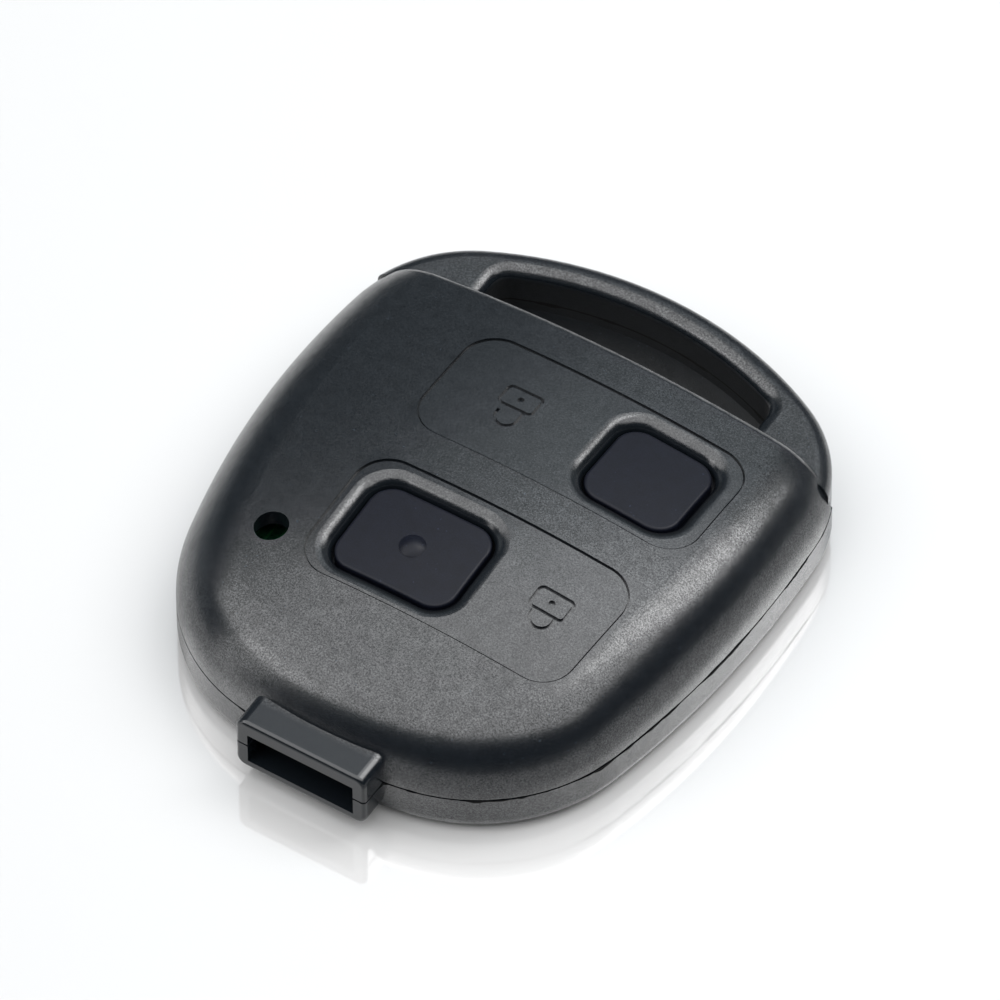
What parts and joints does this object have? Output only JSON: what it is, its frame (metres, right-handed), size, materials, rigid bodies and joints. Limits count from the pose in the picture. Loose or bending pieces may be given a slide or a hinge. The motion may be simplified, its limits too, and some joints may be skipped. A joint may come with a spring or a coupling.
{
  "type": "key fob shell",
  "caption": "Domed remote key head with sunk push buttons, a blade socket at one end and a key-ring slot at the other, with its board, switches and coin cell inside.",
  "frame": {"origin": "centre of the bounding box's bottom, on the flat rear face", "axes": "+Y towards the blade socket, -Y towards the key-ring bar, +Z out through the buttons, +X to the reader's left with the blade end up"},
  "size_m": [0.0444, 0.0544, 0.012],
  "materials": {
    "case_plastic": "fine spark texture",
    "button_rubber": "smooth matt",
    "silicone": "matt",
    "board": "solder mask",
    "chip_black": "matt",
    "tin": "satin",
    "copper": "bare",
    "ceramic": "matt",
    "lamp_lens": "clear red, unlit",
    "steel": "satin",
    "plunger_plastic": "matt"
  },
  "bodies": {
    "case": {"front_shell": "case_plastic", "rear_shell": "case_plastic", "button_pad": "silicone", "circuit_board": "board", "transmitter_chip": "chip_black", "resonator_can": "tin", "tuning_coil": "copper", "chip_capacitors": "ceramic", "chip_resistors": "chip_black", "antenna_loop": "copper", "indicator_led": "lamp_lens", "coin_cell": "steel", "cell_negative_contact": "tin", "cell_positive_clip": "tin", "transponder_chip": "chip_black", "case_screw": "steel", "lock_button_web": "silicone", "unlock_button_web": "silicone", "lock_switch_body": "chip_black", "unlock_switch_body": "chip_black", "lock_switch_cover": "steel", "unlock_switch_cover": "steel", "lock_switch_dome": "steel", "unlock_switch_dome": "steel"},
    "lock_button": {"lock_button": "button_rubber"},
    "unlock_button": {"unlock_button": "button_rubber"},
    "lock_plunger": {"lock_switch_plunger": "plunger_plastic"},
    "unlock_plunger": {"unlock_switch_plunger": "plunger_plastic"}
  },
  "joints": [
    {"name": "lock_button_press", "type": "slide", "parent": "case", "child": "lock_button", "axis": [0, 0, -1], "range_m": [0, 0.00035], "stiffness_N_per_m": 800, "deforming": ["lock_button_web"]},
    {"name": "unlock_button_press", "type": "slide", "parent": "case", "child": "unlock_button", "axis": [0, 0, -1], "range_m": [0, 0.00035], "stiffness_N_per_m": 800, "deforming": ["unlock_button_web"]},
    {"name": "lock_plunger_press", "type": "slide", "parent": "case", "child": "lock_plunger", "axis": [0, 0, -1], "range_m": [0, 0.00036], "deforming": ["lock_switch_dome"]},
    {"name": "unlock_plunger_press", "type": "slide", "parent": "case", "child": "unlock_plunger", "axis": [0, 0, -1], "range_m": [0, 0.00036], "deforming": ["unlock_switch_dome"]}
  ],
  "couplings": [
    {"joint": "lock_plunger_press", "follows": "lock_button_press", "ratio": 1},
    {"joint": "unlock_plunger_press", "follows": "unlock_button_press", "ratio": 1}
  ]
}
